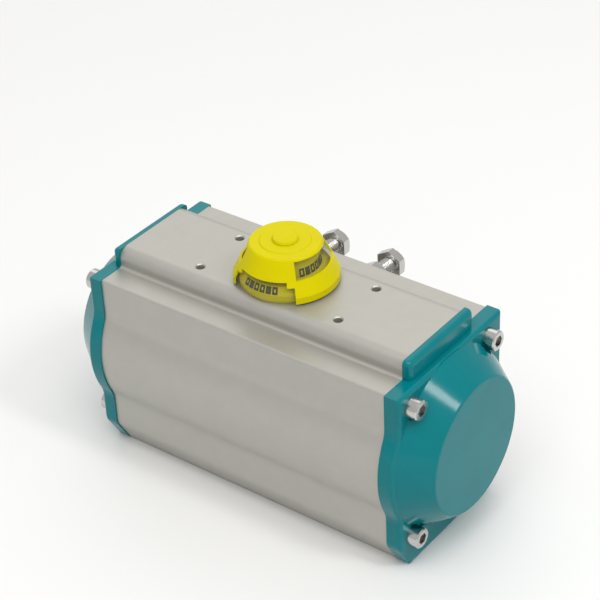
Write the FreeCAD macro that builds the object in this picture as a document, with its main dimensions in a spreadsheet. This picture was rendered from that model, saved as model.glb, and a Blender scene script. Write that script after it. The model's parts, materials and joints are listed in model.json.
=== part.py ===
import FreeCAD, Part
import math
import os
import re

import Sketcher

# Rack-and-pinion rotary actuator, double acting, a quarter turn. Millimetres.
# Frame: the origin is on the drive axis at the valve mounting face. +X runs along the cylinder,
# +Z runs up the drive axis to the indicator, and the ports and stop bolts are on the +Y side.

os.makedirs("parts", exist_ok=True)
doc = FreeCAD.newDocument("RotaryActuator")
sheet = doc.addObject("Spreadsheet::Sheet", "Dims")

DIMS = {
    # extruded housing
    "body_length": 164, "top_height": 109, "shoulder_height": 99.2, "pad_half": 25,
    "near_width": 39.4, "far_width": 43, "toe_height": 14, "near_foot": 31.5, "far_foot": 35,
    "bulge_radius": 45.4, "bore_radius": 41.5, "bore_height": 55,
    "pad_round": 6, "foot_round": 1.6, "corner_round": 1.2, "blend_round": 14,
    "toe_round": 8,
    # port plate on the far side, its ports, and the inlet and gallery behind it
    "port_face": 50, "port_plate_half": 34, "port_plate_low": 38, "port_plate_high": 82,
    "port_level": 60, "port_offset": 12, "port_screw_rise": 16, "port_radius": 5.9,
    "port_screw_radius": 2.1, "port_screw_depth": 6, "inlet_radius": 2.5,
    "gallery_radius": 1.6, "gallery_width": 39, "gallery_level": 79.5,
    "passage_half": 1.3, "passage_depth": 0.9,
    # screw patterns
    "top_spacing_long": 80, "top_spacing_wide": 30, "top_hole_radius": 2.1, "top_hole_depth": 10,
    "large_circle_radius": 35, "large_hole_radius": 3.4, "large_hole_depth": 13,
    "small_circle_radius": 25, "small_hole_radius": 2.5, "small_hole_depth": 10,
    "mouth_chamfer": 0.5,
    # how far joined shapes run into each other, and the usual clearance
    "overlap": 1, "clearance": 0.1,
    # end caps and their screws
    "cap_overhang": 0.8, "cap_rise": 0.1, "cap_floor": 0.4, "lip_thickness": 4.2, "ear_thickness": 8,
    "dome_radius": 44.5, "disc_radius": 33.8, "dome_length": 22.5, "cap_wall": 5,
    "chamber_radius": 40, "chamber_depth": 10, "chamber_end_radius": 31,
    "cap_round": 2, "lip_round": 2.8, "disc_round": 1.5, "cap_passage": 5, "passage_width": 10,
    "screw_wide": 31.4, "screw_rise": 36.5, "screw_radius": 3, "screw_length": 20,
    "head_radius": 5, "head_height": 6, "hex_socket": 5, "hex_depth": 3,
    "head_bevel": 0.5, "thread_bevel": 0.8,
    "cap_hole_radius": 3.3, "tapped_radius": 3.05, "tapped_depth": 14, "head_pocket": 6.8,
    "gasket_inner": 42, "gasket_outer": 44.2, "gasket_thickness": 1.4,
    "gasket_eye": 3.4, "gasket_gap": 0.1, "gasket_play": 0.02,
    # rack and pinion
    "module_size": 1.5, "tooth_count": 20, "backlash": 0.08, "pinion_low": 40, "pinion_high": 70,
    "rack_half": 14, "rack_teeth": 10,
    "root_factor": 1.25, "root_gap": 0.3, "tooth_sink": 0.4,
    # pistons, in the cylinder's own frame
    "crown_inner": 39, "crown_thickness": 14, "crown_radius": 41.2, "crown_dish": 32, "dish_depth": 4,
    "arm_end": 36, "arm_back": 34, "wear_groove": 40.6, "wear_width": 3.2, "wear_depth": 1.2,
    "seal_groove": 46.8, "seal_width": 3.5, "seal_depth": 3.1, "seal_section": 1.6, "slide_gap": 0.08,
    "guide_start": 34, "guide_length": 24, "guide_half": 9, "guide_inset": 1,
    "crown_bevel": 1, "dish_draft": 1,
    # drive shaft, bearings and seals
    "journal_radius": 16.95, "shaft_bottom": 0.8, "journal_top": 13.2, "neck_radius": 13.1,
    "drive_square": 17, "drive_depth": 20, "lower_seat": 20, "lower_seat_top": 20, "bush_low": 1.5,
    "cam_low": 83.6, "cam_thickness": 8.6, "cam_flats": 18.4, "cam_hub": 12, "cam_lobe": 22,
    "cam_face": 2, "cam_pocket": 23.5, "cam_pocket_top": 94.5, "cam_pocket_low": 80,
    "spindle_radius": 9, "upper_seat": 12, "spindle_top": 126, "stem_radius": 8.2, "stem_low": 113,
    "stem_flats": 13, "stem_hole": 2.1, "stem_hole_depth": 12, "fit_gap": 0.05,
    "lower_ring_low": 5.5, "lower_ring_section": 0.9, "upper_ring_low": 103, "upper_ring_section": 0.8,
    "washer_radius": 15.5, "washer_thickness": 1, "clip_low": 111.1, "clip_thickness": 1.1,
    "clip_radius": 11.8, "clip_groove": 8.2, "clip_gap": 3,
    "shaft_bevel": 0.8, "journal_step": 3, "stem_step": 0.5, "stem_shoulder": 4, "bearing_gap": 0.3,
    "groove_factor": 2.3, "seal_squeeze": 0.03, "washer_step": 0.5,
    # travel stops
    "stop_offset": 16.5, "stop_level": 90, "stop_radius": 4, "stop_tip": -1.7, "stop_length": 60,
    "stop_head": 5.3, "stop_hex": 13, "nut_height": 6.5, "stop_bore": 4.08,
    "stop_seal_seat": 6, "stop_seal_depth": 2.1, "stop_seal_section": 0.95,
    # position indicator
    "cone_bottom": 110.2, "cone_radius": 25.1, "cone_skirt": 113.4, "cone_top": 129.7,
    "cone_top_radius": 17.3, "cone_edge": 0.7, "disc_step_radius": 11.8, "disc_step": 0.5,
    "mask_wall": 0.9, "mask_plate": 128.3, "hub_radius": 10.8, "hub_low": 117, "hub_bore": 2.7,
    "cover_wall": 1, "cover_gap": 0.1,
    "drum_foot": 17, "drum_radius": 22.3, "drum_shoulder": 117.2, "drum_shoulder_radius": 20.3,
    "drum_neck": 118.6, "drum_neck_radius": 16.6, "drum_top": 126.6,
    "drum_top_radius": 14.9, "drum_wall": 1.2, "drum_bevel": 1, "knob_foot": 0.4,
    "window_angle": 87, "window_turn": 273, "window_split": 120.2, "corner_angle": 18, "corner_drop": 2.4,
    "screw_recess": 5.6, "knob_radius": 5.8, "knob_low": 129.2, "knob_top": 131.55,
    "indicator_screw_head": 5, "indicator_screw_seat": 127.3, "indicator_screw_height": 1.6,
    "indicator_hex": 3, "indicator_hex_depth": 1.2,
}

for row, (alias, amount) in enumerate(DIMS.items(), start=1):
    sheet.set(f"A{row}", alias)
    sheet.set(f"B{row}", str(amount))
    sheet.setAlias(f"B{row}", alias)
doc.recompute()

PIECES = []


def size(text):
    """The number that an expression over the sheet gives."""
    return float(sheet.evalExpression(str(text)))


def link(text):
    """The same expression as another object has to write it, with the sheet's name."""
    return re.sub(r"[a-z_]{3,}", lambda word: "Dims." + word[0] if word[0] in DIMS else word[0], str(text))


def keep(piece, label):
    """Names a finished piece and puts it on the list of files."""
    piece.Label = label
    PIECES.append(piece)
    return piece


# ---------------------------------------------------------------- sketches

def new_body(label, level="0"):
    """A body whose own origin lies on the Z axis at a level."""
    body = keep(doc.addObject("PartDesign::Body", label), label)
    body.setExpression("Placement.Base.z", link(level))
    return body


def origin_part(body, role):
    return next(item for item in body.Origin.OriginFeatures if item.Role == role)


def new_sketch(body, plane, place="0"):
    """A sketch on an origin plane, moved along the row axis that the plane is square to."""
    sketch = body.newObject("Sketcher::SketchObject", "Sketch")
    sketch.AttachmentSupport = (origin_part(body, plane + "_Plane"), [""])
    sketch.MapMode = "FlatFace"
    sign = "-" if plane == "XZ" else ""
    sketch.setExpression("AttachmentOffset.Base.z", link(f"{sign}({place})"))
    return sketch


def bind(sketch, index, text):
    sketch.setExpression(f"Constraints[{index}]", link(text))


def pin(sketch, curve, point, x, y):
    """Fixes a point of a curve by its distances from the sketch's axes."""
    for kind, text, axis in (("DistanceX", x, -2), ("DistanceY", y, -1)):
        if abs(size(text)) < 1e-9:
            sketch.addConstraint(Sketcher.Constraint("PointOnObject", curve, point, axis))
        else:
            rule = Sketcher.Constraint(kind, -1, 1, curve, point, size(text))
            bind(sketch, sketch.addConstraint(rule), text)


def disc(radius, x="0", y="0"):
    """Draws a circle."""
    def draw(sketch):
        centre = FreeCAD.Vector(size(x), size(y), 0)
        curve = sketch.addGeometry(Part.Circle(centre, FreeCAD.Vector(0, 0, 1), size(radius)), False)
        bind(sketch, sketch.addConstraint(Sketcher.Constraint("Radius", curve, size(radius))), radius)
        pin(sketch, curve, 3, x, y)
    return draw


def arc_between(start, end, radius):
    """A counter-clockwise arc, its centre to the left of the run from start to end."""
    half = (end - start) * 0.5
    across = FreeCAD.Vector(-half.y, half.x, 0).normalize()
    centre = start + half + across * math.sqrt(radius ** 2 - half.Length ** 2)
    angles = [math.atan2(p.y - centre.y, p.x - centre.x) for p in (start, end)]
    circle = Part.Circle(centre, FreeCAD.Vector(0, 0, 1), radius)
    return Part.ArcOfCircle(circle, angles[0], angles[1])


def outline(corners, bends=None):
    """Draws a closed outline; bends names the runs that are arcs, each with its radius."""
    bends = bends or {}

    def draw(sketch):
        points = [FreeCAD.Vector(size(x), size(y), 0) for x, y in corners]
        runs = []
        for number, start in enumerate(points):
            end = points[(number + 1) % len(points)]
            straight = number not in bends
            curve = Part.LineSegment(start, end) if straight else arc_between(start, end, size(bends[number]))
            runs.append(sketch.addGeometry(curve, False))
        for number, run in enumerate(runs):
            following = runs[(number + 1) % len(runs)]
            sketch.addConstraint(Sketcher.Constraint("Coincident", run, 2, following, 1))
            pin(sketch, run, 1, *corners[number])
            if number in bends:
                rule = Sketcher.Constraint("Radius", run, size(bends[number]))
                bind(sketch, sketch.addConstraint(rule), bends[number])
    return draw


def rectangle(left, low, right, high):
    return outline([(left, low), (right, low), (right, high), (left, high)])


def hexagon(across, x="0", y="0", turn=0):
    """A hexagon by its size across the flats."""
    corners = []
    for number in range(6):
        angle = 60 * number + turn
        reach = f"({across}) / sqrt(3)"
        corners.append((f"{x} + {reach} * cos({angle} deg)", f"{y} + {reach} * sin({angle} deg)"))
    return outline(corners)


# ---------------------------------------------------------------- features

def finish_feature(body, feature, before):
    """Recomputes, and stops if the feature left the solid as it was."""
    body.Tip = feature
    doc.recompute()
    if "Invalid" in feature.State or "Error" in feature.State or feature.Shape.isNull():
        raise RuntimeError(f"{body.Label}: {feature.Name} failed")
    if abs(feature.Shape.Volume - before) < 1e-3:
        raise RuntimeError(f"{body.Label}: {feature.Name} changed nothing")
    return feature


def volume(body):
    return 0.0 if body.Tip is None or body.Shape.isNull() else body.Shape.Volume


def extrude(kind, body, plane, low, high, shapes):
    """A Pad or Pocket that fills the span from low to high along the plane's own axis."""
    before = volume(body)
    upward = (kind == "Pad") == (plane != "XZ")
    sketch = new_sketch(body, plane, low if upward else high)
    for draw in shapes:
        draw(sketch)
    feature = body.newObject("PartDesign::" + kind, kind)
    feature.Profile = sketch
    feature.setExpression("Length", link(f"({high}) - ({low})"))
    return finish_feature(body, feature, before)


def pad(body, plane, low, high, *shapes):
    return extrude("Pad", body, plane, low, high, shapes)


def pocket(body, plane, low, high, *shapes):
    return extrude("Pocket", body, plane, low, high, shapes)


def turned(body, axis, corners, kind="Revolution"):
    """A solid of revolution, or a groove, from its half section in the XZ plane."""
    before = volume(body)
    sketch = new_sketch(body, "XZ")
    outline(corners)(sketch)
    feature = body.newObject("PartDesign::" + kind, kind)
    feature.Profile = sketch
    feature.ReferenceAxis = (origin_part(body, axis + "_Axis"), [""])
    feature.Angle = 360
    return finish_feature(body, feature, before)


def dress(kind, body, amount, choose):
    """A Fillet or Chamfer on the edges that choose accepts by their middle point and direction."""
    before = volume(body)
    names = []
    for number, edge in enumerate(body.Tip.Shape.Edges, start=1):
        middle = edge.valueAt((edge.FirstParameter + edge.LastParameter) / 2)
        if choose(middle, edge):
            names.append(f"Edge{number}")
    base = body.Tip
    feature = body.newObject("PartDesign::" + kind, kind)
    feature.Base = (base, names)
    feature.setExpression("Radius" if kind == "Fillet" else "Size", link(amount))
    return finish_feature(body, feature, before)


def near(value, target, slack=0.05):
    return abs(value - target) < slack


def runs_along_x(edge):
    low, high = edge.firstVertex().Point, edge.lastVertex().Point
    return len(edge.Vertexes) == 2 and near(low.y, high.y) and near(low.z, high.z)


# ---------------------------------------------------------------- housing

def section(grow, rise, floor, level, stepped=True):
    """The cylinder's cross-section in Y and Z: pad, shoulders, bulged walls and slanted toes.

    grow sets the walls outwards and rise the top, floor is the lowest Z, level is the Z taken as zero.
    """
    far = f"far_width + {grow}"
    close = f"-(near_width + {grow})"
    radius = f"(bulge_radius + {grow})"
    far_swell = f"sqrt({radius}^2 - (far_width + {grow})^2)"
    near_swell = f"sqrt({radius}^2 - (near_width + {grow})^2)"
    shoulder = f"shoulder_height + {rise}"
    corners = [(f"-(near_foot + {grow})", floor), (f"far_foot + {grow}", floor), (far, "toe_height")]
    corners += [(far, f"bore_height - {far_swell}"), (far, f"bore_height + {far_swell}"), (far, shoulder)]
    if stepped:
        side = f"pad_half + {grow}"
        top = f"top_height + {rise}"
        corners += [(side, shoulder), (side, top), (f"-({side})", top), (f"-({side})", shoulder)]
    corners += [(close, shoulder), (close, f"bore_height + {near_swell}")]
    corners += [(close, f"bore_height - {near_swell}"), (close, "toe_height")]
    last_bend = 11 if stepped else 7
    placed = [(y, f"{z} - ({level})") for y, z in corners]
    return outline(placed, {3: radius, last_bend: radius})


def four(x, y):
    return [(sign_x + x, sign_y + y) for sign_x in ("", "-") for sign_y in ("", "-")]


def port_rectangle():
    return rectangle("-port_plate_half", "port_plate_low", "port_plate_half", "port_plate_high")


def cut_port_seat(body):
    """The flat that the port plate sits on, the inlet to the cylinder and the passage to the gallery."""
    pocket(body, "XZ", "far_width", "bulge_radius + overlap", port_rectangle())
    pocket(body, "XZ", "crown_inner", "far_width", disc("inlet_radius", "-port_offset", "port_level"))
    pocket(body, "YZ", "-body_length / 2", "body_length / 2",
           disc("gallery_radius", "gallery_width", "gallery_level"))
    groove = outline([("far_width", "port_level"), ("far_width", "gallery_level"),
                      ("gallery_width", "gallery_level"), ("far_width - passage_depth", "port_level")])
    pocket(body, "YZ", "port_offset - passage_half", "port_offset + passage_half", groove)


def cut_mounting_holes(body):
    """The two valve flange circles below and the accessory pattern on top."""
    for name in ("large", "small"):
        reach = f"{name}_circle_radius / sqrt(2)"
        holes = [disc(f"{name}_hole_radius", x, y) for x, y in four(reach, reach)]
        pocket(body, "XY", "0", f"{name}_hole_depth", *holes)
    top = four("top_spacing_long / 2", "top_spacing_wide / 2")
    pocket(body, "XY", "top_height - top_hole_depth", "top_height",
           *[disc("top_hole_radius", x, y) for x, y in top])


def cut_drive_seats(body):
    """Seats of the two bearings and the room that the stop cam turns in."""
    pocket(body, "XY", "0", "lower_seat_top", disc("lower_seat"))
    pocket(body, "XY", "cam_pocket_low", "cam_pocket_top", disc("cam_pocket"))
    pocket(body, "XY", "cam_pocket_top - overlap", "top_height", disc("upper_seat"))


def cut_stop_holes(body):
    """Cross holes of the two stop bolts, each with a seat for its seal."""
    places = [(f"{side}stop_offset", "stop_level") for side in ("", "-")]
    pocket(body, "XZ", "0", "far_width", *[disc("stop_bore", x, z) for x, z in places])
    pocket(body, "XZ", "far_width - stop_seal_depth", "far_width",
           *[disc("stop_seal_seat", x, z) for x, z in places])


def cut_cap_screw_holes(body):
    places = [(y, f"bore_height + {z}") for y, z in four("screw_wide", "screw_rise")]
    holes = [disc("tapped_radius", y, z) for y, z in places]
    end = "body_length / 2"
    pocket(body, "YZ", f"{end} - tapped_depth", end, *holes)
    pocket(body, "YZ", f"-{end}", f"tapped_depth - {end}", *holes)


def wall_edges(grow, level):
    """Chooses long edges on the side walls between two heights above the level taken as zero."""
    walls = (-size(f"near_width + {grow}"), size(f"far_width + {grow}"))
    zero = size(level)

    def between(low, high):
        def chosen(p, edge):
            return runs_along_x(edge) and any(near(p.y, w) for w in walls) and low < p.z + zero < high
        return chosen
    return between


def soften_walls(body, grow, level):
    """Rounds the swells and toes, on the housing and on the caps that follow its outline."""
    shoulder, toe, reach = size("shoulder_height"), size("toe_height"), size("corner_round")
    between = wall_edges(grow, level)
    dress("Fillet", body, "blend_round", between(toe + reach, shoulder - 2 * reach))
    dress("Fillet", body, "toe_round", between(toe - reach, toe + reach))


def round_section(body):
    """Rounds the long edges: pad roll-over, pad foot, shoulder corners, swells and toes."""
    pad_side, shoulder, reach = size("pad_half"), size("shoulder_height"), size("corner_round")

    def on_pad(level):
        return lambda p, edge: runs_along_x(edge) and near(abs(p.y), pad_side) and near(p.z, level)

    dress("Fillet", body, "pad_round", on_pad(size("top_height")))
    dress("Fillet", body, "foot_round", on_pad(shoulder))
    dress("Fillet", body, "corner_round", wall_edges("0", "0")(shoulder - reach, shoulder + reach))
    soften_walls(body, "0", "0")


def chamfer_mouths(body):
    """Small chamfers on the screw holes' mouths in the pad and the mounting face."""
    top = size("top_height")
    holes = (size("top_hole_radius"), size("large_hole_radius"), size("small_hole_radius"))

    def is_mouth(point, edge):
        round_edge = isinstance(edge.Curve, Part.Circle) and len(edge.Vertexes) == 1
        level = round_edge and (near(edge.Curve.Center.z, top) or near(edge.Curve.Center.z, 0))
        return level and any(near(edge.Curve.Radius, radius, 0.01) for radius in holes)

    dress("Chamfer", body, "mouth_chamfer", is_mouth)


def make_housing():
    body = new_body("housing")
    pad(body, "YZ", "-body_length / 2", "body_length / 2", section("0", "0", "0", "0"))
    round_section(body)
    pocket(body, "YZ", "-body_length / 2", "body_length / 2", disc("bore_radius", "0", "bore_height"))
    cut_drive_seats(body)
    cut_stop_holes(body)
    cut_cap_screw_holes(body)
    cut_port_seat(body)
    cut_mounting_holes(body)
    chamfer_mouths(body)


def make_port_plate():
    """The plate on the far wall with the two threaded air ports and the valve's screw holes."""
    body = new_body("port_plate")
    pad(body, "XZ", "far_width", "port_face", port_rectangle())
    face = size("port_face")
    dress("Fillet", body, "corner_round", lambda p, edge: near(p.y, face))
    for side in ("", "-"):
        pocket(body, "XZ", "far_width", "port_face", disc("port_radius", f"{side}port_offset", "port_level"))
    holes = [disc("port_screw_radius", f"{x}port_offset", f"port_level {rise} port_screw_rise")
             for x in ("", "-") for rise in ("+", "-")]
    pocket(body, "XZ", "port_face - port_screw_depth", "port_face", *holes)


# ---------------------------------------------------------------- end caps

def make_end_cap():
    """The right-hand cap in the cylinder's frame: flange, lip over the pad, dome and chamber."""
    body = new_body("end_cap_right", "bore_height")
    face = "body_length / 2"
    ears = f"{face} + ear_thickness"
    outer = ("cap_overhang", "cap_rise", "cap_floor", "bore_height")
    pad(body, "YZ", face, f"{face} + lip_thickness", section(*outer))
    lip_face = size(f"{face} + lip_thickness")
    lip_top = size("top_height + cap_rise - bore_height")
    shoulder = size("shoulder_height + cap_rise - bore_height + clearance")
    dress("Fillet", body, "cap_round", lambda p, edge: runs_along_x(edge) and near(p.z, lip_top))
    dress("Fillet", body, "lip_round", lambda p, edge: near(p.x, lip_face) and p.z > shoulder)
    pad(body, "YZ", f"{face} + overlap", ears, section(*outer, stepped=False))
    soften_walls(body, "cap_overhang", "bore_height")
    ear_face = size(ears)
    dress("Fillet", body, "cap_round", lambda p, edge: near(p.x, ear_face))
    tip = f"{face} + dome_length"
    turned(body, "X", [(f"{ears} - overlap", "0"), (tip, "0"), (tip, "disc_radius"),
                       (ears, "dome_radius"), (f"{ears} - overlap", "dome_radius")])
    tip_face = size(tip)
    dress("Fillet", body, "disc_round", lambda p, edge: near(p.x, tip_face))
    inner_end = f"{tip} - cap_wall"
    turned(body, "X", [(face, "0"), (face, "chamber_radius"), (f"{face} + chamber_depth", "chamber_radius"),
                       (inner_end, "chamber_end_radius"), (inner_end, "0")], kind="Groove")
    places = four("screw_wide", "screw_rise")
    pocket(body, "YZ", face, ears, *[disc("cap_hole_radius", y, z) for y, z in places])
    pocket(body, "YZ", ears, tip, *[disc("head_pocket", y, z) for y, z in places])
    pocket(body, "YZ", face, f"{face} + gasket_thickness", disc("gasket_outer"), disc("gasket_inner"))
    eye = ("gallery_width", "gallery_level - bore_height")
    pocket(body, "YZ", face, f"{face} + gasket_thickness", disc("gasket_eye + gasket_gap", *eye))
    pocket(body, "YZ", face, f"{face} + cap_passage", disc("gallery_radius", *eye))
    slot = rectangle("gallery_width - passage_width", f"{eye[1]} - gallery_radius",
                     "gallery_width", f"{eye[1]} + gallery_radius")
    pocket(body, "YZ", f"{face} + cap_passage / 2", f"{face} + cap_passage", slot)
    return body


def make_gasket():
    """The flat ring between housing and cap, with an eye round the gallery."""
    body = new_body("end_cap_seal_right", "bore_height")
    face = "body_length / 2"
    back = f"{face} + gasket_thickness - gasket_play"
    eye = ("gallery_width", "gallery_level - bore_height")
    pad(body, "YZ", face, back, disc("gasket_outer - gasket_gap"), disc("gasket_inner + gasket_gap"))
    pad(body, "YZ", face, back, disc("gasket_eye", *eye))
    pocket(body, "YZ", face, back, disc("gallery_radius + 2 * clearance", *eye))
    return body


def mirror_to_left(source, label):
    mirror = keep(doc.addObject("Part::Mirroring", label), label)
    mirror.Source = source
    mirror.Normal = FreeCAD.Vector(1, 0, 0)


def make_cap_screws(label, turn):
    """Four socket-head screws: one is turned and the other three are copies of it."""
    body = new_body(label, "bore_height - screw_rise")
    body.AllowCompound = True
    seat = "(body_length / 2 + ear_thickness)"
    top = f"{seat} + head_height"
    shank = turned(body, "X", [
        (f"{seat} - screw_length", "0"), (top, "0"), (top, "head_radius - head_bevel"),
        (f"{top} - head_bevel", "head_radius"), (seat, "head_radius"), (seat, "screw_radius"),
        (f"{seat} - screw_length + thread_bevel", "screw_radius"), (f"{seat} - screw_length", "screw_radius - thread_bevel")])
    socket = pocket(body, "YZ", f"{top} - hex_depth", top, hexagon("hex_socket"))
    before = volume(body)
    copies = body.newObject("PartDesign::LinearPattern", "Copies")
    copies.Originals = [shank, socket]
    copies.Direction = (origin_part(body, "Y_Axis"), [""])
    copies.Direction2 = (origin_part(body, "Z_Axis"), [""])
    copies.Occurrences = 2
    copies.Occurrences2 = 2
    copies.setExpression("Length", link("2 * screw_wide"))
    copies.setExpression("Length2", link("2 * screw_rise"))
    finish_feature(body, copies, before)
    body.Placement.Rotation = FreeCAD.Rotation(FreeCAD.Vector(0, 0, 1), turn)
    body.setExpression("Placement.Base.y", link("screw_wide" if turn else "-screw_wide"))


# ---------------------------------------------------------------- pistons

def make_piston(label, turn):
    """A piston with its rack arm on the -Y side; the other one is turned half a turn about Z."""
    body = new_body(label, "bore_height")
    back = "(crown_inner + crown_thickness)"
    dish = f"{back} - dish_depth"
    turned(body, "X", [("crown_inner", "0"), (dish, "0"), (dish, "crown_dish"), (back, "crown_dish + dish_draft"),
                       (back, "crown_radius - crown_bevel"), (f"{back} - crown_bevel", "crown_radius"),
                       ("crown_inner", "crown_radius")])
    for start, width, depth in (("wear_groove", "wear_width", "wear_depth"),
                                ("seal_groove", "seal_width", "seal_depth")):
        end, floor = f"{start} + {width}", f"crown_radius - {depth}"
        turned(body, "X", [(start, floor), (end, floor), (end, "crown_radius + overlap"),
                           (start, "crown_radius + overlap")], kind="Groove")
    pitch_radius = "(module_size * tooth_count / 2)"
    root = f"-({pitch_radius} + root_factor * module_size)"
    pad(body, "XY", "-rack_half", "rack_half", rectangle("-arm_end", "-arm_back", "crown_inner + overlap", root))
    pocket(body, "XZ", "-arm_back - overlap", "guide_inset - arm_back",
           rectangle("-guide_start", "-guide_half", "guide_length - guide_start", "guide_half"))
    add_rack_teeth(body, pitch_radius)
    body.Placement.Rotation = FreeCAD.Rotation(FreeCAD.Vector(0, 0, 1), turn)


def add_rack_teeth(body, pitch_radius):
    """Straight-sided rack teeth, 20 degrees a side, thinned by the backlash, with a space at X = 0."""
    pitch = "(module_size * pi)"
    first = f"(-{pitch} * 6.5)"
    tip_half = f"({pitch} / 4 - backlash - module_size * tan(20 deg))"
    root_half = f"({pitch} / 4 - backlash + (root_factor * module_size + root_gap) * tan(20 deg))"
    tip, root = f"module_size - {pitch_radius}", f"-(root_factor * module_size + root_gap) - {pitch_radius}"
    tooth = pad(body, "XY", "-rack_half", "rack_half", outline([
        (f"{first} - {root_half}", root), (f"{first} + {root_half}", root),
        (f"{first} + {tip_half}", tip), (f"{first} - {tip_half}", tip)]))
    before = volume(body)
    rack = body.newObject("PartDesign::LinearPattern", "Rack")
    rack.Originals = [tooth]
    rack.Direction = (origin_part(body, "X_Axis"), [""])
    rack.setExpression("Occurrences", link("rack_teeth"))
    rack.setExpression("Length", link(f"{pitch} * (rack_teeth - 1)"))
    finish_feature(body, rack, before)


def make_piston_rings(side, turn):
    """The piston's wear band and its seal."""
    band = new_body(f"piston_wear_band_{side}", "bore_height")
    inner, outer = "crown_radius - wear_depth + gasket_play", "bore_radius - slide_gap"
    start, end = "wear_groove + fit_gap", "wear_groove + wear_width - fit_gap"
    turned(band, "X", [(start, inner), (end, inner), (end, outer), (start, outer)])
    band.Placement.Rotation = FreeCAD.Rotation(FreeCAD.Vector(0, 0, 1), turn)
    seal = keep(doc.addObject("Part::Torus", f"piston_seal_{side}"), f"piston_seal_{side}")
    seal.setExpression("Radius1", link("bore_radius - slide_gap - seal_section"))
    seal.setExpression("Radius2", link("seal_section"))
    seal.Placement.Rotation = FreeCAD.Rotation(FreeCAD.Vector(0, 1, 0), 90)
    sign = "-" if turn else ""
    seal.setExpression("Placement.Base.x", link(f"{sign}(seal_groove + seal_width / 2)"))
    seal.setExpression("Placement.Base.z", link("bore_height"))


def make_piston_guide(side, turn):
    """The plastic slide behind the rack: a block cut to the cylinder's curve."""
    block = doc.addObject("Part::Box", "GuideBlock")
    block.setExpression("Length", link("guide_length - clearance"))
    block.setExpression("Width", link("bore_radius - arm_back + guide_inset"))
    block.setExpression("Height", link("2 * guide_half - clearance"))
    block.setExpression("Placement.Base.x", link("0.05 - guide_start"))
    block.setExpression("Placement.Base.y", link("-bore_radius - gasket_play"))
    block.setExpression("Placement.Base.z", link("0.05 - guide_half"))
    curve = doc.addObject("Part::Cylinder", "GuideCurve")
    curve.setExpression("Radius", link("bore_radius - slide_gap"))
    curve.setExpression("Height", link("body_length"))
    curve.Placement.Rotation = FreeCAD.Rotation(FreeCAD.Vector(0, 1, 0), 90)
    curve.setExpression("Placement.Base.x", link("-body_length / 2"))
    guide = keep(doc.addObject("Part::Common", f"piston_guide_{side}"), f"piston_guide_{side}")
    guide.Base = block
    guide.Tool = curve
    guide.setExpression("Placement.Base.z", link("bore_height"))
    guide.Placement.Rotation = FreeCAD.Rotation(FreeCAD.Vector(0, 0, 1), turn)


# ---------------------------------------------------------------- drive shaft

def involute(angle):
    return math.tan(angle) - angle


def flank_point(radius, side):
    """A point of a pinion tooth's flank at a radius; the tooth is centred on +Y."""
    base = size("module_size * tooth_count / 2 * cos(20 deg)")
    pitch = size("module_size * tooth_count / 2")
    pressure = math.acos(min(1.0, base / radius))
    half = math.pi / 2 / size("tooth_count") - size("backlash") / pitch
    half += involute(math.radians(20)) - involute(pressure)
    return FreeCAD.Vector(-side * radius * math.sin(half), radius * math.cos(half), 0)


def pinion_tooth(sketch):
    """One tooth: straight sides below the base circle and an involute arc above it."""
    tip = size("module_size * (tooth_count / 2 + 1)")
    base = size("module_size * tooth_count / 2 * cos(20 deg)")
    foot = size("neck_radius - tooth_sink")
    left, right = [], []
    for side, points in ((-1, left), (1, right)):
        edge = flank_point(base, side)
        points.append(FreeCAD.Vector(edge.x, math.sqrt(foot ** 2 - edge.x ** 2), 0))
        points += [flank_point(radius, side) for radius in (base, (base + tip) / 2, tip)]
    curves = [Part.LineSegment(right[0], left[0]), Part.LineSegment(left[3], right[3])]
    for points in (left, right):
        curves += [Part.LineSegment(points[0], points[1]), Part.Arc(*points[1:])]
    sketch.addGeometry(curves, False)


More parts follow.
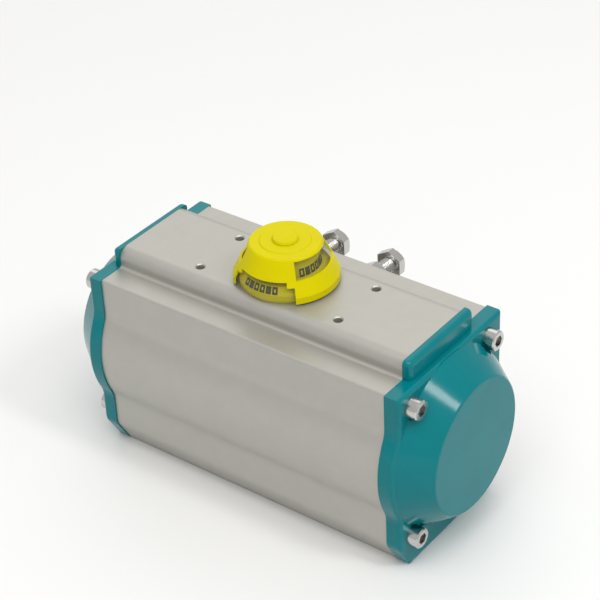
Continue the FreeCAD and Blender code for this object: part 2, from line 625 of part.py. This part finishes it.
def make_drive_shaft():
    """Bottom journal with the star socket, pinion, hexagon for the cam, spindle and stem."""
    body = new_body("drive_shaft")
    steps = [("0", "shaft_bottom"), ("journal_radius - shaft_bevel", "shaft_bottom"),
             ("journal_radius", "shaft_bottom + shaft_bevel"), ("journal_radius", "journal_top"),
             ("neck_radius", "journal_top + journal_step"), ("neck_radius", "cam_low - clearance"),
             ("spindle_radius", "cam_low - clearance"), ("spindle_radius", "stem_low"),
             ("stem_radius", "stem_low + stem_step"), ("stem_radius", "spindle_top - shaft_bevel"),
             ("stem_radius - shaft_bevel", "spindle_top"), ("0", "spindle_top")]
    turned(body, "Z", steps)
    tooth = pad(body, "XY", "pinion_low", "pinion_high", pinion_tooth)
    before = volume(body)
    teeth = body.newObject("PartDesign::PolarPattern", "Pinion")
    teeth.Originals = [tooth]
    teeth.Axis = (origin_part(body, "Z_Axis"), [""])
    teeth.Angle = 360
    teeth.setExpression("Occurrences", link("tooth_count"))
    finish_feature(body, teeth, before)
    pad(body, "XY", "cam_low - 2 * clearance", "cam_low + cam_thickness", hexagon("cam_flats"))
    half = "drive_square / 2"
    reach = "drive_square / sqrt(2)"
    depth = "shaft_bottom + drive_depth"
    pocket(body, "XY", "shaft_bottom", depth, rectangle(f"-{half}", f"-{half}", half, half))
    pocket(body, "XY", "shaft_bottom", depth,
           outline([(reach, "0"), ("0", reach), (f"-{reach}", "0"), ("0", f"-{reach}")]))
    grooves = (("lower_ring_low", "lower_ring_section", "journal_radius"),
               ("upper_ring_low", "upper_ring_section", "spindle_radius"))
    for low, ring, radius in grooves:
        turned(body, "Z", [(f"{radius} - 2 * {ring}", low), (f"{radius} + overlap", low),
                           (f"{radius} + overlap", f"{low} + groove_factor * {ring}"),
                           (f"{radius} - 2 * {ring}", f"{low} + groove_factor * {ring}")], kind="Groove")
    turned(body, "Z", [("clip_groove", "clip_low - fit_gap"), ("spindle_radius + overlap", "clip_low - fit_gap"),
                       ("spindle_radius + overlap", "clip_low + clip_thickness + fit_gap"),
                       ("clip_groove", "clip_low + clip_thickness + fit_gap")], kind="Groove")
    for side in ("", "-"):
        inner, outer = f"{side}stem_flats / 2", f"{side}10"
        pocket(body, "XY", "stem_low + stem_shoulder", "spindle_top", rectangle(inner, "-spindle_radius", outer, "spindle_radius"))
    pocket(body, "XY", "spindle_top - stem_hole_depth", "spindle_top", disc("stem_hole"))


def make_ring(label, low, high, inner, outer):
    """A plain ring round the drive axis, such as a bush or a washer."""
    body = new_body(label)
    pad(body, "XY", low, high, disc(outer), disc(inner))
    return body


def make_shaft_seal(label, low, ring, radius):
    seal = keep(doc.addObject("Part::Torus", label), label)
    seal.setExpression("Radius1", link(f"{radius} - {ring}"))
    seal.setExpression("Radius2", link(f"{ring} - seal_squeeze"))
    seal.setExpression("Placement.Base.z", link(f"{low} + groove_factor / 2 * {ring}"))


def make_stop_cam():
    """Hub and quarter lobe: its two flat faces meet the stop bolts at the ends of the turn."""
    body = new_body("stop_cam")
    high = "cam_low + cam_thickness"
    pad(body, "XY", "cam_low", high, disc("cam_hub"))
    reach = "sqrt(cam_lobe^2 - cam_face^2)"
    lobe = outline([("-cam_face", "-cam_face"), (f"-{reach}", "-cam_face"), ("-cam_face", f"-{reach}")],
                   {1: "cam_lobe"})
    pad(body, "XY", "cam_low", high, lobe)
    pocket(body, "XY", "cam_low", high, hexagon("(cam_flats + 2 * fit_gap)"))


def make_shaft_fittings():
    make_ring("lower_bearing", "bush_low", "journal_top", "journal_radius + fit_gap", "lower_seat - fit_gap")
    make_ring("upper_bearing", "cam_pocket_top + bearing_gap", "top_height - clearance",
              "spindle_radius + fit_gap", "upper_seat - fit_gap")
    make_shaft_seal("lower_shaft_seal", "lower_ring_low", "lower_ring_section", "journal_radius")
    make_shaft_seal("upper_shaft_seal", "upper_ring_low", "upper_ring_section", "spindle_radius")
    make_ring("thrust_washer_plastic", "top_height", "top_height + washer_thickness",
              "spindle_radius + 4 * fit_gap", "washer_radius")
    make_ring("thrust_washer_steel", "top_height + washer_thickness + fit_gap",
              "top_height + 2 * washer_thickness", "spindle_radius + fit_gap", "washer_radius - washer_step")
    clip = make_ring("retaining_ring", "clip_low", "clip_low + clip_thickness",
                     "clip_groove + fit_gap", "clip_radius")
    pocket(clip, "XY", "clip_low", "clip_low + clip_thickness",
           rectangle("-clip_gap", "0", "clip_gap", "clip_radius + overlap"))


# ---------------------------------------------------------------- travel stops

def make_stop(side, sign):
    """A hexagon bolt, its lock nut against the wall and the seal under the nut."""
    x = f"{sign}stop_offset"
    bolt = new_body(f"stop_bolt_{side}", "stop_level")
    seat = "(stop_tip + stop_length)"
    pad(bolt, "XZ", "stop_tip", seat, disc("stop_radius", x, "0"))
    tip = size("stop_tip")
    dress("Chamfer", bolt, "0.6", lambda p, edge: near(p.y, tip))
    pad(bolt, "XZ", seat, f"{seat} + stop_head", hexagon("stop_hex", x, "0", turn=30))
    head_face = size(f"{seat} + stop_head")
    dress("Chamfer", bolt, "0.6", lambda p, edge: near(p.y, head_face))
    nut = new_body(f"stop_nut_{side}", "stop_level")
    pad(nut, "XZ", "far_width", "far_width + nut_height", hexagon("stop_hex", x, "0", turn=30),
        disc("stop_bore", x, "0"))
    seal = keep(doc.addObject("Part::Torus", f"stop_seal_{side}"), f"stop_seal_{side}")
    seal.setExpression("Radius1", link("stop_bore + stop_seal_section"))
    seal.setExpression("Radius2", link("stop_seal_section"))
    seal.Placement.Rotation = FreeCAD.Rotation(FreeCAD.Vector(1, 0, 0), 90)
    seal.setExpression("Placement.Base.x", link(x))
    seal.setExpression("Placement.Base.y", link("far_width - stop_seal_depth / 2"))
    seal.setExpression("Placement.Base.z", link("stop_level"))


# ---------------------------------------------------------------- position indicator

def make_indicator_mask():
    """The opaque cone with two low and two high windows, its square hub and its stepped top."""
    body = new_body("indicator_mask")
    inner = "(cone_radius - mask_wall)"
    turned(body, "Z", [
        (inner, "cone_bottom"), ("cone_radius", "cone_bottom"), ("cone_radius", "cone_skirt"),
        ("cone_top_radius", "cone_top - cone_edge"), ("cone_top_radius - cone_edge", "cone_top"),
        ("disc_step_radius + disc_step", "cone_top"), ("disc_step_radius", "cone_top + disc_step"),
        ("screw_recess", "cone_top + disc_step"), ("screw_recess", "indicator_screw_seat"),
        ("hub_bore", "indicator_screw_seat"), ("hub_bore", "spindle_top + clearance"),
        ("stem_radius + clearance", "spindle_top + clearance"), ("stem_radius + clearance", "hub_low"),
        ("hub_radius", "hub_low"), ("hub_radius", "mask_plate"),
        ("cone_top_radius - mask_wall", "mask_plate"), (inner, "cone_skirt - 2 * clearance")])
    for quarter in range(4):
        turn = f"window_turn + {90 * quarter}"
        if quarter % 2:
            cut_window(body, "window_split", "mask_plate", turn, "window_angle")
        else:
            corner = "window_split - corner_drop"
            cut_window(body, "cone_bottom", corner, turn, "window_angle")
            cut_window(body, corner, "window_split", turn, "window_angle - corner_angle")


def cut_window(body, low, high, turn, angle):
    """Opens the cone over a wedge centred on a direction, but leaves the hub inside it whole."""
    corners = []
    for reach, side in (("hub_radius", "-"), ("40", "-"), ("40", "+"), ("hub_radius", "+")):
        bearing = f"({turn} {side} ({angle}) / 2) * 1 deg"
        corners.append((f"{reach} * cos({bearing})", f"{reach} * sin({bearing})"))
    middle = f"({turn}) * 1 deg"
    corners.append((f"(hub_radius + clearance) * cos({middle})", f"(hub_radius + clearance) * sin({middle})"))
    pocket(body, "XY", low, high, outline(corners))


def make_indicator_cover():
    """The clear cone inside the mask, which closes its windows."""
    body = new_body("indicator_cover")
    outer = "(cone_radius - mask_wall - cover_gap)"
    top_radius = "(cone_top_radius - mask_wall - cover_gap)"
    top = "(mask_plate - cover_gap)"
    turned(body, "Z", [
        (f"{outer} - cover_wall", "cone_bottom + 2 * clearance"), (outer, "cone_bottom + 2 * clearance"),
        (outer, "cone_skirt - 3 * clearance"),
        (top_radius, top), ("hub_radius + cover_gap", top), ("hub_radius + cover_gap", f"{top} - cover_wall"),
        (f"{top_radius} - cover_wall", f"{top} - cover_wall"), (f"{outer} - cover_wall", "cone_skirt - 5 * clearance")])


def make_indicator_drum():
    """The lettering drum that stays with the housing: a low and a high band on a foot."""
    body = new_body("indicator_drum")
    bore = "(hub_radius + 5 * cover_gap)"
    turned(body, "Z", [
        ("drum_foot", "top_height"), ("drum_radius - drum_bevel", "top_height"), ("drum_radius", "cone_bottom + 4 * clearance"),
        ("drum_radius", "cone_skirt"), ("drum_shoulder_radius", "drum_shoulder"),
        ("drum_neck_radius", "drum_neck"), ("drum_top_radius", "drum_top"),
        (bore, "drum_top"), (bore, "drum_top - drum_wall"),
        ("drum_top_radius - drum_wall", "drum_top - drum_wall"),
        ("drum_neck_radius - drum_wall", "drum_neck - drum_wall"),
        ("drum_shoulder_radius - drum_wall", "drum_shoulder - drum_wall"),
        ("drum_radius - drum_wall", "cone_skirt - 4 * clearance"), ("drum_radius - drum_wall", "cone_bottom + 4 * clearance"),
        ("drum_foot", "cone_bottom + 4 * clearance")])


def make_indicator_fastening():
    """The screw that holds the mask on the stem, and the round plug over it."""
    screw = new_body("indicator_screw")
    shank, head = "(stem_hole - fit_gap)", "(indicator_screw_seat + indicator_screw_height)"
    tip = "(spindle_top - stem_hole_depth + 2 * overlap)"
    turned(screw, "Z", [
        ("0", tip), (shank, tip), (shank, "indicator_screw_seat"),
        ("indicator_screw_head", "indicator_screw_seat"), ("indicator_screw_head", f"{head} - head_bevel"),
        ("indicator_screw_head - head_bevel", head), ("0", head)])
    pocket(screw, "XY", f"{head} - indicator_hex_depth", head, hexagon("indicator_hex"))
    knob = new_body("indicator_knob")
    step = "(cone_top + disc_step + cover_gap / 2)"
    turned(knob, "Z", [
        ("0", "knob_low"), ("screw_recess - cover_gap", "knob_low"), ("screw_recess - cover_gap", step),
        ("knob_radius + knob_foot", step), ("knob_radius + knob_foot", f"{step} + knob_foot"),
        ("knob_radius - 2 * clearance", "knob_top"), ("0", "knob_top")])


# ---------------------------------------------------------------- the assembly

def check_document():
    """Stops on any object that failed, and on any piece without a valid shape."""
    doc.recompute()
    for item in doc.Objects:
        if "Invalid" in item.State or "Error" in item.State:
            raise RuntimeError(f"{item.Label} is in state {item.State}")
    for piece in PIECES:
        if piece.Shape.isNull() or not piece.Shape.isValid() or not piece.Shape.Solids:
            raise RuntimeError(f"{piece.Label} has no valid solid")


def make_assembly():
    make_housing()
    make_port_plate()
    mirror_to_left(make_end_cap(), "end_cap_left")
    mirror_to_left(make_gasket(), "end_cap_seal_left")
    for side, turn, sign in (("right", 0, ""), ("left", 180, "-")):
        make_cap_screws(f"end_cap_screws_{side}", turn)
        make_piston(f"piston_{side}", turn)
        make_piston_rings(side, turn)
        make_piston_guide(side, turn)
        make_stop(side, sign)
    make_drive_shaft()
    make_stop_cam()
    make_shaft_fittings()
    make_indicator_mask()
    make_indicator_cover()
    make_indicator_drum()
    make_indicator_fastening()


make_assembly()
check_document()
for piece in PIECES:
    piece.Shape.exportStep(f"parts/{piece.Label}.step")
    box = piece.Shape.BoundBox
    print(f"{piece.Label}: {len(piece.Shape.Solids)} solids, {piece.Shape.Volume / 1000:.2f} cm3, "
          f"{box.XLength:.1f} x {box.YLength:.1f} x {box.ZLength:.1f}")
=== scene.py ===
import json
import math

import bmesh
import bpy
from mathutils import Matrix, Vector


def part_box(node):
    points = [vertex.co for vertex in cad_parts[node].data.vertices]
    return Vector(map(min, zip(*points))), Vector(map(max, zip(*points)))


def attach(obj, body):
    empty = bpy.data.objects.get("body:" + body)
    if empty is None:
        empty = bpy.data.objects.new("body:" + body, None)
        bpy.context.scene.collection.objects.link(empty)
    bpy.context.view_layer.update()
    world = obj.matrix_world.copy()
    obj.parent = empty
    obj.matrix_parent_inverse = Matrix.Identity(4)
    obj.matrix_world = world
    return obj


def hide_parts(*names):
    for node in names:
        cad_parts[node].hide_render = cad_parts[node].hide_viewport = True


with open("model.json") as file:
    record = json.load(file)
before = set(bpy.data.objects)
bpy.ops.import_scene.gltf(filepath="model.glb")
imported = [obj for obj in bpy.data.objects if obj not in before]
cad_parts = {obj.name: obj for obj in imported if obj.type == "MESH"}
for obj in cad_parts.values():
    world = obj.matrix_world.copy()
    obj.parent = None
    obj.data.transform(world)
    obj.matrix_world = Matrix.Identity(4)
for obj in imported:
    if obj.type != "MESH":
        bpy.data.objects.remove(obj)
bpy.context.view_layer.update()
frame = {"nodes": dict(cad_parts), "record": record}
NODES = frame["nodes"]
SIDES = ("right", "left")
MM = 0.001


# ---------------------------------------------------------------- camera and light

# The camera looks down on the near long side and the right-hand cap, a little rolled.
AIM = Vector((0.0069, 0.0, 0.0989))
DISTANCE = 0.8878
AZIMUTH, ELEVATION, ROLL = math.radians(38.3), math.radians(33.96), math.radians(-2.8)
LENS_MM, SENSOR_MM = 114.2, 36.0
OBJECT_MIDDLE = Vector((0, 0, 0.06))
WARM_WHITE = (1.0, 0.99, 0.975)


def direction(azimuth, elevation):
    """A unit vector that points away from the object; azimuth 0 is -Y and grows towards +X."""
    level = math.cos(elevation)
    return Vector((math.sin(azimuth) * level, -math.cos(azimuth) * level, math.sin(elevation)))


def look_along(forward, roll=0.0):
    """The rotation of a camera or lamp that faces along forward."""
    turn = forward.to_track_quat("-Z", "Y").to_matrix().to_4x4()
    return turn @ Matrix.Rotation(roll, 4, "Z")


def add_camera():
    data = bpy.data.cameras.new("camera")
    data.lens, data.sensor_width = LENS_MM, SENSOR_MM
    camera = bpy.data.objects.new("camera", data)
    bpy.context.scene.collection.objects.link(camera)
    away = direction(AZIMUTH, ELEVATION)
    camera.matrix_world = Matrix.Translation(AIM + away * DISTANCE) @ look_along(-away, ROLL)
    bpy.context.scene.camera = camera


def add_softbox(name, azimuth, elevation, distance, width, height, watts, colour=(1, 1, 1)):
    """A rectangular area lamp that faces the object's middle; angles in degrees, sizes in metres."""
    data = bpy.data.lights.new(name, "AREA")
    data.shape = "RECTANGLE"
    data.size, data.size_y = width, height
    data.energy, data.color = watts, colour
    lamp = bpy.data.objects.new(name, data)
    bpy.context.scene.collection.objects.link(lamp)
    away = direction(math.radians(azimuth), math.radians(elevation))
    lamp.matrix_world = Matrix.Translation(OBJECT_MIDDLE + away * distance) @ look_along(-away)


def add_studio():
    add_softbox("front_top", 36, 66, 2.3, 2.0, 1.8, 32, WARM_WHITE)
    add_softbox("back_left", 214, 42, 2.3, 2.2, 1.4, 8, WARM_WHITE)
    add_softbox("cone_light", 93, 48.5, 1.9, 0.3, 0.42, 8)
    world = bpy.data.worlds.new("studio")
    world.use_nodes = True
    background = world.node_tree.nodes["Background"]
    background.inputs["Color"].default_value = (1.0, 1.0, 0.995, 1)
    background.inputs["Strength"].default_value = 0.66
    bpy.context.scene.world = world
    bpy.context.scene.view_settings.view_transform = "Standard"


# ---------------------------------------------------------------- material nodes

# Noise stays mostly between these two values.
NOISE_LOW, NOISE_HIGH = 0.3, 0.7
NOISE_ROUGHNESS = 0.55
# How many times slower the colour varies than the grain.
COLOUR_SPAN = 14
BUMP_STRENGTH = 0.4


def new_material(name):
    material = bpy.data.materials.new(name)
    material.use_nodes = True
    shader = material.node_tree.nodes["Principled BSDF"]
    return material, material.node_tree, shader


def noise(tree, scale, detail):
    """Noise over the object's own coordinates; scale counts features per metre."""
    coords = tree.nodes.new("ShaderNodeTexCoord")
    texture = tree.nodes.new("ShaderNodeTexNoise")
    texture.inputs["Scale"].default_value = scale
    texture.inputs["Detail"].default_value = detail
    texture.inputs["Roughness"].default_value = NOISE_ROUGHNESS
    tree.links.new(coords.outputs["Object"], texture.inputs["Vector"])
    return texture.outputs["Fac"]


def ramp(tree, source, stops):
    """A colour ramp; stops are (position, colour)."""
    node = tree.nodes.new("ShaderNodeValToRGB")
    while len(node.color_ramp.elements) < len(stops):
        node.color_ramp.elements.new(0.5)
    for element, (position, colour) in zip(node.color_ramp.elements, stops):
        element.position = position
        element.color = (*colour, 1)
    tree.links.new(source, node.inputs["Fac"])
    return node.outputs["Color"]


def spread(tree, source, low, high):
    """Maps the middle of a noise's range to low and high."""
    node = tree.nodes.new("ShaderNodeMapRange")
    node.inputs["From Min"].default_value = NOISE_LOW
    node.inputs["From Max"].default_value = NOISE_HIGH
    node.inputs["To Min"].default_value = low
    node.inputs["To Max"].default_value = high
    tree.links.new(source, node.inputs["Value"])
    return node.outputs["Result"]


def bump(tree, shader, height, distance):
    node = tree.nodes.new("ShaderNodeBump")
    node.inputs["Strength"].default_value = BUMP_STRENGTH
    node.inputs["Distance"].default_value = distance
    tree.links.new(height, node.inputs["Height"])
    tree.links.new(node.outputs["Normal"], shader.inputs["Normal"])


def shade(colour, factor):
    return tuple(min(1.0, channel * factor) for channel in colour)


def textured(name, colour, metallic, roughness, grain, variation, bump_mm, rough_spread=0.05, **sockets):
    """A material whose colour and roughness vary with noise and whose bump is a fine grain.

    grain counts features per metre, variation is the share that the colour changes by, and sockets
    are further values of the shader, with underscores for spaces.
    """
    material, tree, shader = new_material(name)
    slow = noise(tree, grain / COLOUR_SPAN, detail=4.0)
    fine = noise(tree, grain, detail=6.0)
    dark, light = shade(colour, 1 - variation), shade(colour, 1 + variation)
    varied = ramp(tree, slow, [(NOISE_LOW, dark), (NOISE_HIGH, light)])
    tree.links.new(varied, shader.inputs["Base Color"])
    rough = spread(tree, fine, roughness - rough_spread, roughness + rough_spread)
    tree.links.new(rough, shader.inputs["Roughness"])
    shader.inputs["Metallic"].default_value = metallic
    for socket, value in sockets.items():
        shader.inputs[socket.replace("_", " ")].default_value = value
    bump(tree, shader, fine, bump_mm * MM)
    return material


MATERIALS = {
    "anodised_housing": textured(
        "anodised_housing", (0.42, 0.41, 0.372), 0.55, 0.42, 1700, 0.02, 0.004, rough_spread=0.03),
    "coated_cap": textured(
        "coated_cap", (0.0, 0.162, 0.182), 0.0, 0.15, 900, 0.04, 0.002, rough_spread=0.02,
        Specular_IOR_Level=0.2),
    "stainless_fastener": textured("stainless_fastener", (0.56, 0.55, 0.53), 1.0, 0.2, 1500, 0.04, 0.002),
    "steel_shaft": textured("steel_shaft", (0.5, 0.5, 0.5), 1.0, 0.28, 1200, 0.06, 0.003),
    "cast_piston": textured("cast_piston", (0.6, 0.6, 0.6), 0.9, 0.45, 900, 0.06, 0.03),
    "bearing_plastic": textured("bearing_plastic", (0.72, 0.7, 0.62), 0.0, 0.5, 800, 0.04, 0.01),
    "seal_rubber": textured("seal_rubber", (0.02, 0.02, 0.02), 0.0, 0.55, 900, 0.2, 0.01),
    "print_black": textured("print_black", (0.012, 0.012, 0.012), 0.0, 0.4, 700, 0.2, 0.002),
    "indicator_yellow": textured(
        "indicator_yellow", (0.57, 0.5, 0.0), 0.0, 0.34, 700, 0.03, 0.003, Specular_IOR_Level=0.06),
    "indicator_clear": textured(
        "indicator_clear", (0.2, 0.19, 0.08), 0.0, 0.05, 600, 0.01, 0.001, rough_spread=0.02,
        Alpha=0.14, Specular_IOR_Level=1.0),
}


def paint_nodes():
    """Gives every CAD node the material of its slot."""
    for part in frame["record"]["subparts"]:
        node = NODES[part["node"]]
        node.data.materials.clear()
        node.data.materials.append(MATERIALS[part["material_slot"]])


# ---------------------------------------------------------------- meshes

def add_mesh(name, build, material, body):
    """A new piece that moves with a CAD body and takes its finish from a slot."""
    mesh = bpy.data.meshes.new(name)
    bmesh.ops.recalc_face_normals(build, faces=build.faces)
    build.to_mesh(mesh)
    build.free()
    piece = bpy.data.objects.new(name, mesh)
    bpy.context.scene.collection.objects.link(piece)
    mesh.materials.append(material)
    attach(piece, body)
    return piece


def join_rings(build, first, second):
    """A closed band of faces between two rings with the same number of points."""
    count = len(first)
    for a in range(count):
        b = (a + 1) % count
        build.faces.new((first[a], first[b], second[b], second[a]))


# ---------------------------------------------------------------- indicator marks, in mm

# The drum's two conical bands: level and radius at the lower and upper end.
LOW_BAND = ((113.4, 22.3), (117.2, 20.3))
HIGH_BAND = ((118.6, 16.6), (126.6, 14.9))
# Where the closed position's windows are centred, counter-clockwise from +X.
LOW_TURN, HIGH_TURN, QUARTER = 271.6, 1.6, 90
PRINT_FOOT, PRINT_FACE = 0.02, 0.12
STEP_DEGREES = 1.5
# Each mark's width and upright stroke are in degrees, its levels in mm.
LOW_PRINT = {"band": LOW_BAND, "low": 113.8, "high": 117.0, "width": 6.9, "stroke": 2.3}
HIGH_PRINT = {"band": HIGH_BAND, "low": 118.8, "high": 122.8, "width": 9.2, "stroke": 3.0}
LEVEL_STROKE = 0.95
PITCH_RATIO = 1.22
CLOSED_MARKS, OPEN_MARKS = 6, 4


def point_at(radius, turn, level):
    """A point at turn degrees about the drive axis, counter-clockwise from +X."""
    angle = math.radians(turn)
    return Vector((radius * math.cos(angle), radius * math.sin(angle), level)) * MM


def band_radius(band, level):
    (low, low_radius), (high, high_radius) = band
    return low_radius + (high_radius - low_radius) * (level - low) / (high - low)


def add_print_block(build, band, start, end, low, high):
    """A thin curved slab on a band between two turns and two levels."""
    steps = max(2, int((end - start) / STEP_DEGREES))
    corners = [(PRINT_FOOT, low), (PRINT_FOOT, high), (PRINT_FACE, high), (PRINT_FACE, low)]
    rings = []
    for step in range(steps + 1):
        turn = start + (end - start) * step / steps
        points = [point_at(band_radius(band, level) + lift, turn, level) for lift, level in corners]
        rings.append([build.verts.new(point) for point in points])
    for first, second in zip(rings, rings[1:]):
        join_rings(build, first, second)
    build.faces.new(rings[0])
    build.faces.new(list(reversed(rings[-1])))


def add_frame(build, band, start, end, low, high, stroke):
    """An open frame of four slabs."""
    add_print_block(build, band, start, start + stroke, low, high)
    add_print_block(build, band, end - stroke, end, low, high)
    add_print_block(build, band, start + stroke, end - stroke, high - LEVEL_STROKE, high)
    add_print_block(build, band, start + stroke, end - stroke, low, low + LEVEL_STROKE)


def add_print(name, middle, count, band, low, high, width, stroke):
    """A row of generic marks, one solid block to two open frames, centred on middle degrees."""
    build = bmesh.new()
    pitch = width * PITCH_RATIO
    for index in range(count):
        start = middle + (index - count / 2) * pitch + (pitch - width) / 2
        if index % 3 == 1:
            add_print_block(build, band, start, start + width, low, high)
        else:
            add_frame(build, band, start, start + width, low, high, stroke)
    add_mesh(name, build, MATERIALS["print_black"], "housing")


def add_prints():
    """Marks behind the windows of the closed position, and fewer behind those of the open one."""
    for half in (0, 180):
        add_print(f"closed_low_print_{half}", LOW_TURN + half, CLOSED_MARKS, **LOW_PRINT)
        add_print(f"closed_high_print_{half}", HIGH_TURN + half, CLOSED_MARKS, **HIGH_PRINT)
        add_print(f"open_low_print_{half}", LOW_TURN + QUARTER + half - 360, OPEN_MARKS, **LOW_PRINT)
        add_print(f"open_high_print_{half}", HIGH_TURN + QUARTER + half, OPEN_MARKS, **HIGH_PRINT)


# ---------------------------------------------------------------- stop bolts and nuts, in mm

def box_in_mm(node):
    return [[value / MM for value in corner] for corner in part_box(node)]


# M8 bolts with their axes along Y; the CAD solids give the places and lengths.
(_, BOLT_TIP, _), (_, BOLT_TOP, _) = box_in_mm("stop_bolt_right")
(NUT_LEFT, NUT_FOOT, NUT_LOW), (NUT_RIGHT, NUT_FACE, NUT_HIGH) = box_in_mm("stop_nut_right")
STOP_OFFSET, STOP_LEVEL = (NUT_LEFT + NUT_RIGHT) / 2, (NUT_LOW + NUT_HIGH) / 2
HEXAGON = NUT_RIGHT - NUT_LEFT
HEAD_HEIGHT, COLLAR_HEIGHT, COLLAR_RADIUS = 5.3, 0.3, 6.2
THREAD_RADIUS, THREAD_PITCH, THREAD_DEPTH, THREAD_COVERED = 4.0, 1.25, 0.6, 3.0
THREAD_STEPS = 8
TIP_RADIUS, TIP_BEVEL = 3.2, 0.8
BEVEL_RADIUS, BEVEL_SLOPE = 6.1, 1.7
BEVEL_DEPTHS = (0.0, 0.2, 0.4, 0.6, 0.85)
DISH_RADIUS, DISH_FLOOR, DISH_DEPTH = 4.8, 4.3, 0.25
NUT_BORE, NUT_MOUTH, NUT_MOUTH_DEPTH = 4.08, 4.4, 0.3
RING_POINTS = 24


def plain(radius):
    return lambda turn: radius


def hexagon_reach(turn):
    """How far a hexagon with corners up and down reaches from its axis at this turn."""
    return HEXAGON / 2 / math.cos(math.radians((turn - 30) % 60 - 30))


def bevelled(depth):
    """The hexagon cut by the cone of its bevel, this far in from the face."""
    return lambda turn: min(hexagon_reach(turn), BEVEL_RADIUS + BEVEL_SLOPE * depth)


def threaded(level):
    """A ring across a helical thread."""
    def reach(turn):
        phase = (level / THREAD_PITCH - turn / 360) % 1
        return THREAD_RADIUS - THREAD_DEPTH * abs(2 * phase - 1)
    return reach


def add_ring(build, sign, level, reach):
    """One ring of points about a stop bolt's axis; reach gives the radius at each turn."""
    ring = []
    for step in range(RING_POINTS):
        turn = 360 * step / RING_POINTS
        x = sign * STOP_OFFSET + reach(turn) * math.cos(math.radians(turn))
        z = STOP_LEVEL + reach(turn) * math.sin(math.radians(turn))
        ring.append(build.verts.new(Vector((x, level, z)) * MM))
    return ring


def add_turned(name, sign, profile, hollow, body, node):
    """Joins the rings of a profile, (level, reach) in turn, and stands for that CAD node."""
    build = bmesh.new()
    rings = [add_ring(build, sign, level, reach) for level, reach in profile]
    for first, second in zip(rings, rings[1:]):
        join_rings(build, first, second)
    if hollow:
        join_rings(build, rings[-1], rings[0])
    else:
        build.faces.new(rings[0])
        build.faces.new(rings[-1])
    piece = add_mesh(name, build, MATERIALS["stainless_fastener"], body)
    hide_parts(node)


def face_bevel(face, inwards, depths):
    """Rings of a hexagon's bevelled end; inwards is +1 or -1 along Y."""
    return [(face + inwards * depth, bevelled(depth)) for depth in depths]


def bolt_profile():
    start, seat = NUT_FOOT + THREAD_COVERED, BOLT_TOP - HEAD_HEIGHT
    steps = int((seat - start) / THREAD_PITCH * THREAD_STEPS)
    levels = [start + (seat - start) * step / steps for step in range(1, steps + 1)]
    shank = [(BOLT_TIP, plain(TIP_RADIUS)), (BOLT_TIP + TIP_BEVEL, plain(THREAD_RADIUS)),
             (start, plain(THREAD_RADIUS))]
    thread = [(level, threaded(level)) for level in levels]
    collar = [(seat, plain(COLLAR_RADIUS)), (seat + COLLAR_HEIGHT, plain(COLLAR_RADIUS))]
    head = [(seat + COLLAR_HEIGHT, hexagon_reach)]
    head += face_bevel(BOLT_TOP, -1, reversed(BEVEL_DEPTHS))
    dish = [(BOLT_TOP, plain(DISH_RADIUS)), (BOLT_TOP - DISH_DEPTH, plain(DISH_FLOOR))]
    return shank + thread + collar + head + dish


def nut_profile():
    foot = [(NUT_FOOT, plain(NUT_BORE)), (NUT_FOOT, plain(COLLAR_RADIUS))]
    hexagon = face_bevel(NUT_FOOT, 1, BEVEL_DEPTHS[1:])
    hexagon += face_bevel(NUT_FACE, -1, reversed(BEVEL_DEPTHS))
    mouth = [(NUT_FACE, plain(NUT_MOUTH)), (NUT_FACE - NUT_MOUTH_DEPTH, plain(NUT_BORE))]
    return foot + hexagon + mouth


def add_stops():
    for side, sign in zip(SIDES, (1, -1)):
        bolt, nut = f"stop_bolt_{side}", f"stop_nut_{side}"
        add_turned(f"bolt_{side}", sign, bolt_profile(), False, bolt, bolt)
        add_turned(f"nut_{side}", sign, nut_profile(), True, "housing", nut)


# ---------------------------------------------------------------- stage

FLOOR_HALF, FLOOR_LEVEL = 6, -0.0002
FLOOR_COLOUR = (0.76, 0.76, 0.755)


def add_floor():
    mesh = bpy.data.meshes.new("floor")
    build = bmesh.new()
    bmesh.ops.create_grid(build, x_segments=8, y_segments=8, size=FLOOR_HALF)
    build.to_mesh(mesh)
    build.free()
    floor = bpy.data.objects.new("floor", mesh)
    bpy.context.scene.collection.objects.link(floor)
    floor.location.z = FLOOR_LEVEL
    floor.data.materials.append(textured("floor_paper", FLOOR_COLOUR, 0.0, 0.6, 60, 0.004, 0.01))


add_camera()
add_studio()
add_floor()
paint_nodes()
add_prints()
add_stops()
